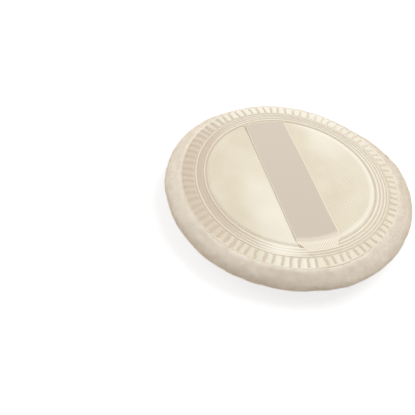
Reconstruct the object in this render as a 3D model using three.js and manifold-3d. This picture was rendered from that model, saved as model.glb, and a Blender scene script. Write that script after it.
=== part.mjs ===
// Round powder puff: a velour pouch round a foam pad, closed at the back by a satin panel with an
// embossed weld, and a ribbon strap for the fingers. Millimetres, +Z up. The puff lies on its velour
// face, the origin is the middle of that face on the table, and the ribbon runs along X.

import * as THREE from 'three';
import { mergeVertices } from 'three/addons/utils/BufferGeometryUtils.js';
import Module from 'manifold-3d';

const wasm = await Module();
wasm.setup();

// Driving dimensions of the velour pouch

const PUFF_RADIUS = 45; // outside of the velour roll
const ROLL_HALF_WIDTH = 5.9; // the roll's section is an ellipse
const ROLL_HALF_HEIGHT = 3.8;
const ROLL_REACH = 5.7; // how far the roll stands out past the satin's edge
const FACE_SLOPE = 0.19; // rise of the crowned velour face where it meets the roll
const REST_CUT = 0.5; // depth of the flat that the crown is pressed to on a table
const VELOUR_THICK = 2; // ground cloth and pile
const MARGIN_THICK = 1; // the same cloth, pressed flat in the weld
const MARGIN_WIDTH = 4.7; // velour turned in under the weld

// Driving dimensions of the satin back and its weld

const RIM_RISE = 0.7; // the satin's edge above the top of the roll
const DISH_DEPTH = 0.2; // the weld's floor below the satin's edge
const RIB_LENGTH = 3.9; // band of radial ribs at the satin's edge
const RIB_COUNT = 81;
const RIB_HEIGHT = 0.55;
const RIB_SHOULDER = 0.4; // sloping inner end of the ribs
const RIB_GROOVE = 0.8; // width of the groove between two ribs
const RIB_GROOVE_DEPTH = 0.48;
const RIB_HEM = 0.35; // plain edge outside the grooves
const RING_COUNT = 4; // concentric ridges inside the ribs
const RING_PITCH = 1.1;
const RING_HEIGHT = 0.45;
const DISC_SHOULDER = 1.1; // sloping edge of the loose disc inside the weld
const DISC_RISE = 0.5; // height of that edge
const DISC_CROWN = 0.8; // the disc's middle above its edge
const SEAT_FLOOR = 0.3; // satin left under the fused ends of the ribbon
const FILM_THICK = 0.5;

// Driving dimensions of the ribbon

const RIBBON_WIDTH = 15.9;
const RIBBON_THICK = 0.45;
const RIBBON_LAP = 0.65; // how far the ribbon runs into the weld before it is fused flat
const TAB_THICK = 0.3; // fused end of the ribbon, under its embossed ridges

const GAP = 0.3; // clearance between pieces that lie on each other

// Facets

const ROUND_STEPS = 48;
const ROLL_STEPS = 5; // each quarter of the roll
const LINING_STEPS = 5; // inside of the roll, which nothing shows
const CROWN_STEPS = 3;
const RIBBON_STEPS = 8;

// Places across the puff

const satinRadius = PUFF_RADIUS - ROLL_REACH;
const ringOuter = satinRadius - RIB_LENGTH;
const ringInner = ringOuter - RING_COUNT * RING_PITCH;
const discRadius = ringInner - DISC_SHOULDER;
const marginInner = ringOuter - MARGIN_WIDTH;

// The crowned face and the roll, which meet at one slope

const rollRadius = PUFF_RADIUS - ROLL_HALF_WIDTH;
const rollStart = rollAngle(ROLL_HALF_WIDTH, ROLL_HALF_HEIGHT);
const faceRadius = rollRadius + ROLL_HALF_WIDTH * Math.sin(rollStart);
const faceCurve = FACE_SLOPE / (2 * faceRadius);
const faceEdge = faceCurve * faceRadius ** 2 - REST_CUT;
const rollHeight = faceEdge + ROLL_HALF_HEIGHT * Math.cos(rollStart);
const restRadius = Math.sqrt(REST_CUT / faceCurve);

// Heights and depths of the layers at the back

const rimTop = rollHeight + ROLL_HALF_HEIGHT + RIM_RISE;
const ringLevel = rimTop - DISH_DEPTH;
const tabFloor = ringLevel - TAB_THICK;
const satinThick = TAB_THICK + GAP + SEAT_FLOOR;
const underSatin = satinThick + GAP;
const underFilm = underSatin + FILM_THICK + GAP;
const aboveAll = 2 * rimTop;

// Angle on the roll's section, from straight down, at which its slope is the face's slope.
function rollAngle(halfWidth, halfHeight) {
  return Math.atan((FACE_SLOPE * halfWidth) / halfHeight);
}

// Profiles are lists of [radius, height], run up the outside and back along the top

function rollArc(halfWidth, halfHeight, from, to, steps) {
  const points = [];
  for (let i = 0; i <= steps; i++) {
    const angle = from + ((to - from) * i) / steps;
    const r = rollRadius + halfWidth * Math.sin(angle);
    points.push([r, rollHeight - halfHeight * Math.cos(angle)]);
  }
  return points;
}

// The crowned face, raised by an inset, from one radius up to but not at another.
function faceDome(inset, from, to) {
  const points = [];
  for (let i = 0; i < CROWN_STEPS; i++) {
    const r = from + ((to - from) * i) / CROWN_STEPS;
    points.push([r, faceCurve * r ** 2 - REST_CUT + inset]);
  }
  return points;
}

// Height of the back's smooth surface, with the ridges and ribs left out.
function backHeight(r) {
  if (r <= discRadius) return ringLevel + DISC_RISE + DISC_CROWN * (1 - (r / discRadius) ** 2);
  if (r <= ringInner) return ringLevel + (DISC_RISE * (ringInner - r)) / DISC_SHOULDER;
  if (r <= ringOuter) return ringLevel;
  return ringLevel + ((DISH_DEPTH - RIB_HEIGHT) * (r - ringOuter)) / RIB_LENGTH;
}

// The back's smooth surface lowered by a depth, from the axis out to a limit.
function backCurve(depth, limit) {
  const radii = [];
  for (let i = 0; i <= CROWN_STEPS; i++) radii.push((discRadius * i) / CROWN_STEPS);
  radii.push(ringInner, ringOuter);
  const inside = radii.filter((r) => r < limit);
  return [...inside, limit].map((r) => [r, backHeight(r) - depth]);
}

// The concentric ridges, from the ribs inwards.
function ringRidges() {
  const points = [];
  for (let i = 0; i < RING_COUNT; i++) {
    const groove = ringOuter - i * RING_PITCH;
    points.push([groove, ringLevel]);
    points.push([groove - RING_PITCH / 2, ringLevel + RING_HEIGHT]);
  }
  return points;
}

function lathe(profile, steps) {
  const points = profile.map(([r, z]) => new THREE.Vector2(r, z));
  return new THREE.LatheGeometry(points, steps).rotateX(Math.PI / 2);
}

// Closed mesh to solid: shared vertices are merged, and triangles folded onto the axis are dropped.
function solid(geometry) {
  const bare = geometry.clone();
  bare.deleteAttribute('normal');
  bare.deleteAttribute('uv');
  const merged = mergeVertices(bare);
  const triangles = [];
  for (let i = 0; i < merged.index.count; i += 3) {
    const corners = [0, 1, 2].map((k) => merged.index.getX(i + k));
    if (new Set(corners).size === 3) triangles.push(...corners);
  }
  const vertProperties = new Float32Array(merged.attributes.position.array);
  const triVerts = new Uint32Array(triangles);
  return new wasm.Manifold(new wasm.Mesh({ numProp: 3, vertProperties, triVerts }));
}

function geometryOf(manifold) {
  const mesh = manifold.getMesh();
  const geometry = new THREE.BufferGeometry();
  geometry.setAttribute('position', new THREE.BufferAttribute(mesh.vertProperties, 3));
  geometry.setIndex(new THREE.BufferAttribute(mesh.triVerts, 1));
  geometry.computeVertexNormals();
  return geometry;
}

// Velour pouch: crowned face, roll, and the margin turned in under the weld.
function velourCover() {
  const innerWidth = ROLL_HALF_WIDTH - VELOUR_THICK;
  const innerHeight = ROLL_HALF_HEIGHT - VELOUR_THICK;
  const innerStart = rollAngle(innerWidth, innerHeight);
  const innerFace = rollRadius + innerWidth * Math.sin(innerStart);
  const widest = Math.PI / 2;
  const tuck = satinRadius + GAP;
  const rollEnd = Math.PI - Math.asin((tuck - rollRadius) / ROLL_HALF_WIDTH);
  const filmEdge = ringOuter + GAP;
  const marginTop = ringLevel - underFilm;
  const marginLow = marginTop - MARGIN_THICK;
  return lathe([
    [0, 0],
    ...faceDome(0, restRadius, faceRadius),
    ...rollArc(ROLL_HALF_WIDTH, ROLL_HALF_HEIGHT, rollStart, widest, ROLL_STEPS),
    ...rollArc(ROLL_HALF_WIDTH, ROLL_HALF_HEIGHT, widest, rollEnd, ROLL_STEPS).slice(1),
    [tuck, backHeight(tuck) - underSatin],
    [filmEdge + GAP, backHeight(filmEdge + GAP) - underSatin],
    [filmEdge, marginTop],
    [marginInner, marginTop],
    [marginInner, marginLow],
    [ringOuter, marginLow],
    ...rollArc(innerWidth, innerHeight, Math.PI, innerStart, LINING_STEPS),
    ...faceDome(VELOUR_THICK, innerFace, 0).slice(1),
    [0, VELOUR_THICK - REST_CUT],
  ], ROUND_STEPS);
}

// Foam pad: fills the pouch and stands up inside the turned-in margin to carry the film.
function foamFilling() {
  const inset = VELOUR_THICK + GAP;
  const halfWidth = ROLL_HALF_WIDTH - inset;
  const halfHeight = ROLL_HALF_HEIGHT - inset;
  const start = rollAngle(halfWidth, halfHeight);
  const faceEnd = rollRadius + halfWidth * Math.sin(start);
  const shoulder = ringLevel - underFilm - MARGIN_THICK - GAP;
  const bossRadius = marginInner - GAP;
  return lathe([
    ...faceDome(inset, 0, faceEnd),
    ...rollArc(halfWidth, halfHeight, start, Math.PI, LINING_STEPS),
    [ringOuter, shoulder],
    [bossRadius, shoulder],
    ...backCurve(underFilm, bossRadius).reverse(),
  ], ROUND_STEPS);
}

// Sealing film: a thin sheet that follows the satin's underside out to the ribs.
function sealingFilm() {
  return lathe([
    ...backCurve(underSatin + FILM_THICK, ringOuter),
    ...backCurve(underSatin, ringOuter).reverse(),
  ], ROUND_STEPS);
}

// The satin before the grooves between the ribs and the ribbon's seats are pressed into it.
function satinBlank() {
  const ribStart = ringOuter + RIB_SHOULDER;
  return solid(lathe([
    ...backCurve(satinThick, satinRadius),
    [satinRadius, backHeight(satinRadius) + RIB_HEIGHT],
    [ribStart, backHeight(ribStart) + RIB_HEIGHT],
    ...ringRidges(),
    ...backCurve(0, ringInner).reverse(),
  ], RIB_COUNT));
}

// Grooves between the ribs: narrow radial bars, trimmed to follow the sloping band.
function ribGrooves() {
  const outline = [];
  for (let i = 0; i < RIB_COUNT; i++) {
    const angle = (2 * Math.PI * (i + 0.5)) / RIB_COUNT - Math.PI / 2;
    for (const [r, side] of [[discRadius, -1], [PUFF_RADIUS, -1], [PUFF_RADIUS, 1], [discRadius, 1]]) {
      const corner = new THREE.Vector2(r, (side * RIB_GROOVE) / 2);
      outline.push(corner.rotateAround(new THREE.Vector2(), angle));
    }
  }
  const bars = new THREE.ExtrudeGeometry(new THREE.Shape(outline), {
    depth: aboveAll,
    bevelEnabled: false,
  });
  const floorRise = RIB_HEIGHT - RIB_GROOVE_DEPTH;
  const end = satinRadius - RIB_HEM;
  const start = [ringOuter, ringLevel + floorRise];
  const band = lathe([
    start,
    [end, backHeight(end) + floorRise],
    [end, aboveAll],
    [ringOuter, aboveAll],
    start,
  ], RIB_COUNT);
  return solid(bars).intersect(solid(band));
}

// Seats for the fused ends of the ribbon: two stretches of a ring over the weld, whose corners are
// turned away from the satin's own.
function ribbonSeats() {
  const inner = ringInner - GAP;
  const outer = ringOuter + GAP;
  const floor = tabFloor - GAP;
  const section = [[inner, floor], [outer, floor], [outer, aboveAll], [inner, aboveAll], [inner, floor]];
  const ring = lathe(section, RIB_COUNT).rotateZ(Math.PI / (2 * RIB_COUNT));
  const across = new THREE.BoxGeometry(2 * PUFF_RADIUS, RIBBON_WIDTH + 2 * GAP, 2 * aboveAll);
  return solid(ring).intersect(solid(across));
}

// Satin panel: crowned disc, ridges and ribs, with a seat at each end for the fused ribbon.
function satinBack() {
  return geometryOf(satinBlank().subtract(ribGrooves()).subtract(ribbonSeats()));
}

// Bends a strip that runs along X so that what lies across it in the weld follows the round rings.
function bendToRings(geometry) {
  const position = geometry.attributes.position;
  const straight = (discRadius * (CROWN_STEPS - 1)) / CROWN_STEPS;
  for (let i = 0; i < position.count; i++) {
    const x = position.getX(i);
    const reach = Math.abs(x);
    const share = THREE.MathUtils.clamp((reach - straight) / (ringInner - straight), 0, 1);
    const onRing = Math.sqrt(Math.max(reach ** 2 - position.getY(i) ** 2, 0));
    position.setX(i, Math.sign(x) * THREE.MathUtils.lerp(reach, onRing, share));
  }
  geometry.computeVertexNormals();
  return geometry;
}

// Ribbon: lies over the disc and turns down into the weld, where its fused ends carry the same
// ridges as the satin round them.
function ribbonStrap() {
  const half = [
    ...backCurve(-GAP, ringInner),
    [ringInner + RIBBON_LAP, tabFloor],
    [ringOuter, tabFloor],
    ...ringRidges(),
    ...backCurve(-GAP - RIBBON_THICK, ringInner).reverse(),
  ];
  const otherHalf = half.slice(1, -1).map(([x, z]) => [-x, z]).reverse();
  const outline = [...half, ...otherHalf].map(([x, z]) => new THREE.Vector2(x, z));
  const strip = new THREE.ExtrudeGeometry(new THREE.Shape(outline), {
    depth: RIBBON_WIDTH,
    steps: RIBBON_STEPS,
    bevelEnabled: false,
  });
  strip.rotateX(Math.PI / 2);
  strip.translate(0, RIBBON_WIDTH / 2, 0);
  return bendToRings(strip);
}

// The assembly

function piece(name, geometry, color, roughness) {
  const material = new THREE.MeshStandardMaterial({ color, roughness, metalness: 0 });
  const mesh = new THREE.Mesh(geometry, material);
  mesh.name = name;
  return mesh;
}

const puff = new THREE.Group();
puff.name = 'powder_puff';
puff.add(piece('velour_cover', velourCover(), 0xe3d7c7, 1));
puff.add(piece('foam_filling', foamFilling(), 0xefe4cc, 0.95));
puff.add(piece('sealing_film', sealingFilm(), 0xece6da, 0.5));
puff.add(piece('satin_back', satinBack(), 0xe9e0c9, 0.45));
puff.add(piece('ribbon_strap', ribbonStrap(), 0xd9ccbf, 0.5));

export default puff;
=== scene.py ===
"""Powder puff: a velour pouch round a foam pad, with an embossed satin back and a ribbon strap."""

import math

import bpy
import numpy as np
from mathutils import Matrix, Vector, noise


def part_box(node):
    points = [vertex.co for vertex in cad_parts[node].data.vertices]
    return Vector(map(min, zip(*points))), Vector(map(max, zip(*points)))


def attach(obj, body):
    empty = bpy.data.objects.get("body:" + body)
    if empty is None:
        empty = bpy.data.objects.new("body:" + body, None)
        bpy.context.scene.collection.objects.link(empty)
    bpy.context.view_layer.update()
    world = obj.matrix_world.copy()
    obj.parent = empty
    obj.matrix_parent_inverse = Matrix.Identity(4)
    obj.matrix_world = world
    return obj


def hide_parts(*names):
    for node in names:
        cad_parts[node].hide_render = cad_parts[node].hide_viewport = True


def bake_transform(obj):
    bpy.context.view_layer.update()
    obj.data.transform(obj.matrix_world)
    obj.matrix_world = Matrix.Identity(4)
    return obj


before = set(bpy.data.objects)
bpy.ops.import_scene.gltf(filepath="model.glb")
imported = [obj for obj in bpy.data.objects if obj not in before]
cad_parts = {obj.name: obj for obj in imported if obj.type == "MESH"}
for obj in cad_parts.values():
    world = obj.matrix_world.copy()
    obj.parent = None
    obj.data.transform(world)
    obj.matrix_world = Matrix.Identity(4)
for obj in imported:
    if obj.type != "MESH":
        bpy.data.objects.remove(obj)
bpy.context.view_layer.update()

bl_info = {
    "name": "Powder Puff",
    "version": (1, 0, 0),
    "blender": (4, 5, 0),
    "location": "View3D > Sidebar > Powder Puff",
    "description": "Makes a velour powder puff with an embossed satin back and a ribbon strap",
    "category": "Add Mesh",
}

MM = 0.001
PHOTO_SIDE = 415  # pixels of the square picture
SENSOR = 36.0  # millimetres, Blender's own
SIM_SCALE = 10.0  # the pouch is simulated ten times as large, where the solver is steady
SIM_FRAMES = 20
SIM_THIN = 4  # the simulated pouch has a quarter of the points round it
SIM_MOST = 0.6 * MM  # the furthest that the simulation may move a point
BAKE_MAP = "OFBake"  # name of the map through which the fibres' colour is baked

pouch_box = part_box("velour_cover")
satin_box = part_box("satin_back")
ribbon_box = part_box("ribbon_strap")
film_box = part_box("sealing_film")


def linear(hex_colour):
    """An sRGB colour such as e3d7c7 as linear red, green, blue and alpha."""
    parts = [int(hex_colour[i : i + 2], 16) / 255 for i in (0, 2, 4)]
    return tuple(c / 12.92 if c <= 0.04045 else ((c + 0.055) / 1.055) ** 2.4 for c in parts) + (1.0,)


def length(name, description, default):
    """A size in metres that a user may change."""
    return bpy.props.FloatProperty(
        name=name, description=description, default=default, unit="LENGTH", precision=5
    )


def angle(name, description, degrees):
    """An angle that a user may change, given here in degrees."""
    return bpy.props.FloatProperty(
        name=name, description=description, default=math.radians(degrees), subtype="ANGLE"
    )


def sides(name, description, *degrees):
    """Some sides of the puff that a user may change, given here in degrees."""
    return bpy.props.FloatVectorProperty(
        name=name,
        description=description,
        default=[math.radians(side) for side in degrees],
        size=len(degrees),
        unit="ROTATION",
    )


def number(name, description, default):
    """A plain number that a user may change."""
    return bpy.props.FloatProperty(name=name, description=description, default=default)


def count(name, description, default):
    """A whole number that a user may change."""
    return bpy.props.IntProperty(name=name, description=description, default=default)


def colour(name, description, hex_colour):
    """A colour that a user may change, given here as sRGB hex."""
    return bpy.props.FloatVectorProperty(
        name=name,
        description=description,
        default=linear(hex_colour),
        size=4,
        min=0.0,
        max=1.0,
        subtype="COLOR",
    )


class PuffVelour(bpy.types.PropertyGroup):
    """Sizes and colours of the velour pouch."""

    radius: length("Radius", "Outside of the velour roll", pouch_box[1].x)
    roll_width: length("Roll Width", "Half the width of the roll's section", 5.9 * MM)
    roll_height: length("Roll Height", "Half the height of the roll's section", 3.8 * MM)
    face_slope: number("Face Slope", "Rise of the crowned face where it meets the roll", 0.19)
    rest_cut: length("Rest Cut", "Depth of the flat that the crown is pressed to", 0.5 * MM)
    cloth: length("Cloth", "Thickness of ground cloth and pile", 2.0 * MM)
    swell: length("Swell", "How far the roll swells up against the satin's edge", 0.95 * MM)
    slump: length("Slump", "How far the filling has moved from the thin side of the roll", 1.0 * MM)
    slump_way: angle("Slump Way", "Side where the roll is thin", 165)
    bulge: length("Bulge", "How far the filling pushes the roll out at two places", 1.5 * MM)
    bulge_ways: sides("Bulge Ways", "Sides of those places", 15, 92)
    pinch: length("Pinch", "How far the roll is drawn in at two places", 1.3 * MM)
    pinch_ways: sides("Pinch Ways", "Sides of those places", 125, 195)
    sag: length("Sag", "How far the soft puff sinks at its lowest edge", 2.1 * MM)
    sag_way: angle("Sag Way", "Side of the lowest edge", 120)
    pile: length("Pile", "Height of the pile above the ground cloth", 0.4 * MM)
    fibre: length("Fibre", "Width of a tuft of fibres at its root", 0.09 * MM)
    density: number("Density", "Tufts on each square millimetre of the roll", 42.0)
    row_pitch: length("Row Pitch", "Distance between two rows of knitting", 0.8 * MM)
    seed: count("Seed", "Seed of the pile", 7)
    pale: colour("Pale", "Pile where it stands up", "fffaf0")
    deep: colour("Deep", "Pile where it leans away", "f6ecdf")


class PuffBack(bpy.types.PropertyGroup):
    """Sizes and colours of the satin panel and its weld."""

    radius: length("Radius", "Edge of the satin", satin_box[1].x)
    rim: length("Rim", "Height of the satin's edge", 11.52 * MM)
    thickness: length("Thickness", "Thickness of the satin", 0.35 * MM)
    dish: length("Dish", "Depth of the weld's floor below the edge", 0.2 * MM)
    rib_count: count("Ribs", "Radial ribs round the edge", 81)
    rib_length: length("Rib Length", "Width of the band of ribs", 3.9 * MM)
    rib_height: length("Rib Height", "Height of the ribs", 0.55 * MM)
    groove: length("Groove", "Width of the groove between two ribs", 1.1 * MM)
    hem: length("Hem", "Plain edge outside the grooves", 0.3 * MM)
    wander: length("Wander", "How far the trimmed edge strays from a circle", 0.3 * MM)
    reach: length("Reach", "How far the edge reaches out at the ribbon's near end", 0.8 * MM)
    reach_way: angle("Reach Way", "Side of that end", 350)
    ring_count: count("Rings", "Concentric ridges", 4)
    ring_width: length("Ring Width", "Width of the band of ridges", 4.4 * MM)
    ring_height: length("Ring Height", "Height of the ridges", 0.4 * MM)
    ring_crowding: number("Ring Crowding", "How much closer the ridges lie towards the ribs", 1.24)
    pucker: length("Pucker", "Height of the small creases in the weld", 0.12 * MM)
    ring_drift: bpy.props.FloatVectorProperty(
        name="Ring Drift",
        description="How far the ridges were struck off the middle",
        default=(0.3 * MM, 0.52 * MM, 0.0),
        subtype="TRANSLATION",
        precision=5,
    )
    ring_pull: length("Ring Pull", "How far the ridges spread inwards on one side", 1.5 * MM)
    ring_pull_way: angle("Ring Pull Way", "Side where they spread", 290)
    faint_way: angle("Faint Way", "Side where the ridges are faint", 335)
    soft_way: angle("Soft Way", "Side where the ribs are softest", 125)
    seam: length("Seam", "Depth of the crease round the loose disc", 0.2 * MM)
    shoulder: length("Shoulder", "Sloping edge of the loose disc", 1.1 * MM)
    disc_rise: length("Disc Rise", "Height of the loose disc's edge", 0.5 * MM)
    disc_crown: length("Disc Crown", "The disc's middle above its edge", 0.8 * MM)
    drape: length("Drape", "Depth of the soft hollows in the loose disc", 0.3 * MM)
    valley: length("Valley", "How deep the ribbon draws the loose disc in", 1.2 * MM)
    valley_width: length("Valley Width", "Width of that hollow to each side", 10 * MM)
    # Strength of the painted highlight, which is painted shade where below zero, on the loose disc and on
    # the weld.
    painted_sheen_strength: number("Gloss", "Strength of the shine on the loose disc and on the weld", 0.38)
    # Painted highlight: the satin's colour is mixed towards this where the painted highlight is strong.
    bright: colour("Bright", "Satin where it shines", "fffbf0")
    pale: colour("Pale", "Satin where the warp floats", "f3ebd8")
    deep: colour("Deep", "Satin between the floats", "d7caaf")
    # Painted shade: the weld's colour is mixed towards this, most on one side and in its grooves.
    dull: colour("Dull", "Satin where the press struck hardest", "cfbeaa")
    # The side that is crushed flattest and gets the most painted shade.
    crush_and_shade_way: angle("Dull Way", "Side that the press struck hardest", 258)


class PuffRibbon(bpy.types.PropertyGroup):
    """Sizes and colours of the ribbon strap."""

    width: length("Width", "Width of the ribbon", ribbon_box[1].y - ribbon_box[0].y)
    thickness: length("Thickness", "Thickness of the ribbon", 0.45 * MM)
    gap: length("Gap", "Room between the ribbon and the satin", 0.3 * MM)
    fused: length("Fused", "How far the fused end stands above the satin", 0.02 * MM)
    gather: length("Gather", "How far each edge is drawn in at the near end", 2.4 * MM)
    selvedge: length("Selvedge", "Width of the woven edge", 0.6 * MM)
    bead: length("Bead", "Distance between two loops of the woven edge", 1.2 * MM)
    # The looped edges are paler thread; the turn at the near end gets this colour as a painted highlight.
    pale: colour("Pale", "Woven edges and the turn at the near end", "faf0db")
    deep: colour("Deep", "Middle of the ribbon", "cfc2b3")


class PuffFilling(bpy.types.PropertyGroup):
    """Colours of what is sealed inside."""

    foam: colour("Foam", "Open cell foam", "efe4cc")
    film: colour("Film", "Thermoplastic film", "ece6da")


class PuffStage(bpy.types.PropertyGroup):
    """Camera, lamps and floor."""

    distance: length("Distance", "Camera from the middle of the satin's rim", 280 * MM)
    elevation: angle("Elevation", "Camera above the rim", 45.91)
    azimuth: angle("Azimuth", "Camera round the puff", 60.2)
    roll: angle("Roll", "Camera turned about its own axis", 13.55)
    focal: number("Focal Length", "In pixels of the picture", 775.5)
    aim: bpy.props.FloatVectorProperty(
        name="Aim", description="Pixel that shows the middle of the rim", size=2, default=(289.9, 179.8)
    )
    ambient: number("Ambient", "Light from all round", 0.4)
    key: number("Key", "Light of the key lamp", 0.54)
    fill: number("Fill", "Light of the low lamp", 0.15)
    floor: colour("Floor", "Floor as the object sees it", "cebca6")


def set_inputs(tree, node, inputs):
    """Sets or links inputs by name or number. A node as a value stands for its first output."""
    for key, value in inputs.items():
        if isinstance(value, bpy.types.Node):
            value = value.outputs[0]
        if isinstance(value, bpy.types.NodeSocket):
            tree.links.new(value, node.inputs[key])
        else:
            node.inputs[key].default_value = value


def add_node(tree, kind, inputs=None, **settings):
    """Adds a node, sets its properties, and sets or links its inputs."""
    made = tree.nodes.new(kind)
    for name, value in settings.items():
        setattr(made, name, value)
    set_inputs(tree, made, inputs or {})
    return made


def new_material(name):
    """A material with its Principled shader, and the place on the piece."""
    made = bpy.data.materials.new(name)
    made.use_nodes = True
    tree = made.node_tree
    shader = tree.nodes["Principled BSDF"]
    place = add_node(tree, "ShaderNodeTexCoord").outputs["Object"]
    return made, tree, shader, place


def new_tree(name, inputs):
    """A Geometry Nodes tree with a geometry input and these (name, socket type) inputs."""
    tree = bpy.data.node_groups.new(name, "GeometryNodeTree")
    tree.interface.new_socket("Geometry", in_out="INPUT", socket_type="NodeSocketGeometry")
    for label, kind in inputs:
        tree.interface.new_socket(label, in_out="INPUT", socket_type=kind)
    tree.interface.new_socket("Geometry", in_out="OUTPUT", socket_type="NodeSocketGeometry")
    return tree, add_node(tree, "NodeGroupInput").outputs


def run_tree(piece, tree, values):
    """Runs a tree on a piece with named values, and keeps the result as its plain mesh."""
    modifier = piece.modifiers.new(tree.name, "NODES")
    modifier.node_group = tree
    for socket in tree.interface.items_tree:
        if socket.in_out == "INPUT" and socket.name in values:
            modifier[socket.identifier] = values[socket.name]
    keep_result(piece)


def keep_result(piece):
    """Turns what the modifiers make of a piece into its plain mesh, and removes them."""
    graph = bpy.context.evaluated_depsgraph_get()
    result = bpy.data.meshes.new_from_object(
        piece.evaluated_get(graph), preserve_all_data_layers=True, depsgraph=graph
    )
    before = piece.data
    piece.modifiers.clear()
    piece.data = result
    bpy.data.meshes.remove(before)
    result.name = piece.name


def new_piece(name, mesh, material):
    """An object at the origin, with its place in its mesh."""
    piece = bpy.data.objects.new(name, mesh)
    bpy.context.scene.collection.objects.link(piece)
    if material:
        mesh.materials.clear()
        mesh.materials.append(material)
    return piece


def ring(radius, height, segments):
    """Points round the axis at one radius and height."""
    turn = 2 * math.pi * np.arange(segments) / segments
    return np.stack([radius * np.cos(turn), radius * np.sin(turn), np.full(segments, height)], axis=1)


def stack_rings(name, rings, start=None, end=None):
    """A mesh through rings of points, from the axis below, out, up and back along the top.

    Two neighbours have as many points, or one has three times as many as the other. start and end
    close the first and the last ring with a point on the axis.
    """
    first = np.cumsum([0] + [len(points) for points in rings])
    faces = []
    for low, high, a, b in zip(first, first[1:], rings, rings[1:]):
        fine, coarse = max(len(a), len(b)), min(len(a), len(b))
        ratio = fine // coarse
        for j in range(coarse):
            more = [(ratio * j + k) % fine for k in range(ratio + 1)]
            few = [j, (j + 1) % coarse]
            under, over = (more, few) if len(a) > len(b) else (few, more)
            faces.append([low + k for k in under] + [high + k for k in reversed(over)])
    points = list(rings)
    for pole, points_round, base in ((start, rings[0], 0), (end, rings[-1], first[-2])):
        if pole is None:
            continue
        middle = sum(len(p) for p in points)
        points.append(np.array([pole]))
        total = len(points_round)
        for j in range(total):
            edge = [base + j, base + (j + 1) % total]
            faces.append([middle] + (edge if base else edge[::-1]))
    mesh = bpy.data.meshes.new(name)
    mesh.from_pydata(np.concatenate(points).tolist(), [], faces)
    mesh.shade_smooth()
    return mesh


def slab_faces(rows, columns):
    """The faces of a closed slab on a grid of points with a second grid under it."""
    grid = np.arange(rows * columns).reshape(rows, columns)
    low = grid + rows * columns
    quads = [
        (grid[:-1, :-1], grid[1:, :-1], grid[1:, 1:], grid[:-1, 1:]),
        (low[:-1, :-1], low[:-1, 1:], low[1:, 1:], low[1:, :-1]),
        (grid[:-1, 0], low[:-1, 0], low[1:, 0], grid[1:, 0]),
        (grid[:-1, -1], grid[1:, -1], low[1:, -1], low[:-1, -1]),
        (grid[-1, :-1], low[-1, :-1], low[-1, 1:], grid[-1, 1:]),
        (grid[0, :-1], grid[0, 1:], low[0, 1:], low[0, :-1]),
    ]
    return np.concatenate([np.stack([c.ravel() for c in quad], axis=1) for quad in quads]).tolist()


def set_values(mesh, name, values):
    """Stores one number for each vertex under a name."""
    mesh.attributes.new(name, "FLOAT", "POINT").data.foreach_set("value", np.asarray(values, np.float32))


def places(mesh):
    """The vertices of a mesh as rows of x, y and z."""
    return np.array([vertex.co for vertex in mesh.vertices])


def smooth(low, high, value):
    """A soft step from 0 at low to 1 at high."""
    share = np.clip((value - low) / (high - low), 0, 1)
    return share * share * (3 - 2 * share)


def bell(value, width):
    """1 where the value is zero, and less and less over about this width."""
    return np.exp(-((value / width) ** 2))


def lobe(turn, way, narrow):
    """1 on one side of the puff, and less and less away from it."""
    return np.exp(narrow * (np.cos(turn - way) - 1))


def waver(points, size, seed):
    """Soft noise about zero at each point, with lumps of about this size."""
    shift = Vector((seed, 2.7 * seed, -1.3 * seed))
    return np.array([noise.noise(Vector(p) / size + shift) for p in points])


def roll_section(velour, inset, steps):
    """The crowned face and the roll as [radius, height], inset from the outside of the pile.

    The list runs from the edge of the flat under the puff to the weld at the back.
    """
    across = velour.roll_width - inset
    upright = velour.roll_height - inset
    middle = velour.radius - velour.roll_width
    outer = math.atan(velour.face_slope * velour.roll_width / velour.roll_height)
    face_edge = middle + velour.roll_width * math.sin(outer)
    curve = velour.face_slope / (2 * face_edge)
    level = curve * face_edge**2 - velour.rest_cut + velour.roll_height * math.cos(outer)
    start = math.atan(velour.face_slope * across / upright)
    face_end = middle + across * math.sin(start)
    rest = math.sqrt(velour.rest_cut / curve)
    face = [[r, curve * r**2 - velour.rest_cut + inset] for r in np.linspace(rest, face_end, steps)]
    roll = [
        [middle + across * math.sin(a), level - upright * math.cos(a)]
        for a in np.linspace(start, math.pi, 2 * steps)[1:]
    ]
    return face + roll, level


def weld_radii(back):
    """The outside and inside of the band of ridges, and the edge of the loose disc."""
    ring_outer = back.radius - back.rib_length
    ring_inner = ring_outer - back.ring_width
    return ring_outer, ring_inner, ring_inner - back.shoulder


def back_height(back, radius):
    """Height of the back's smooth surface, with the ridges and ribs left out."""
    floor = back.rim - back.dish
    ring_outer, ring_inner, disc = weld_radii(back)
    crown = back.disc_rise + back.disc_crown * np.clip(1 - (radius / disc) ** 2, 0, 1)
    slope = (back.dish - back.rib_height) * np.clip((radius - ring_outer) / back.rib_length, 0, 1)
    return floor + crown * (1 - smooth(disc, ring_inner, radius)) + slope


def drape(back, x, y):
    """How far the ribbon draws the loose disc in, and lets it rise to both sides."""
    _, _, disc = weld_radii(back)
    loose = 1 - smooth(0.6 * disc, disc, np.hypot(x, y))
    return loose * back.valley * (0.35 - bell(y, back.valley_width))


def settled(velour, x, y):
    """How far the soft puff has sunk or curled up, away from the flat that it rests on."""
    flat = 12 * MM
    reach = smooth(flat, velour.radius, np.hypot(x, y))
    turn = np.arctan2(y, x) - velour.sag_way
    return -velour.sag * reach * (0.55 * np.cos(turn) + 0.45 * np.cos(2 * turn))


def settle(velour, points):
    """Lets points sink or curl up with the puff."""
    points[:, 2] += settled(velour, points[:, 0], points[:, 1])


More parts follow.
